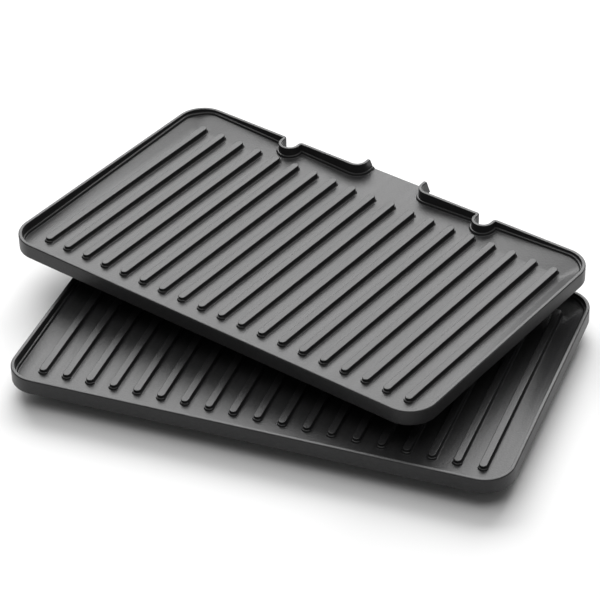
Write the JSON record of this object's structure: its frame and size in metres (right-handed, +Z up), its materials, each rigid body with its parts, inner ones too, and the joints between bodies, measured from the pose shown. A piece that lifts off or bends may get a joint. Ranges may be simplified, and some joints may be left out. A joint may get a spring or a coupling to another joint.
{
  "type": "contact grill plate pair",
  "caption": "Two removable ribbed grill plates with a drain spout and rear locating notches, one lying turned on the other.",
  "frame": {"origin": "middle of the pair's box in plan, on the surface that the lower foot ring stands on", "axes": "+X along the lower plate's long side, +Y towards its drain spout and notches, +Z up"},
  "size_m": [0.3602, 0.2887, 0.0441],
  "materials": {
    "nonstick_cast": "satin charcoal non-stick coating on die-cast aluminium",
    "stainless_sheet": "brushed stainless sheet",
    "screw_steel": "zinc-plated pan-head screws"
  },
  "bodies": {
    "lower": {"lower_plate": "nonstick_cast", "lower_latch_strike": "stainless_sheet", "lower_strike_screws": "screw_steel", "lower_left_tongue": "stainless_sheet", "lower_right_tongue": "stainless_sheet", "lower_tongue_screws": "screw_steel"},
    "upper": {"upper_plate": "nonstick_cast", "upper_latch_strike": "stainless_sheet", "upper_strike_screws": "screw_steel", "upper_left_tongue": "stainless_sheet", "upper_right_tongue": "stainless_sheet", "upper_tongue_screws": "screw_steel"}
  },
  "joints": [
    {"name": "upper_plate_lift", "type": "slide", "parent": "lower", "child": "upper", "axis": [0, 0, 1], "range_m": [0, 0.12]}
  ]
}
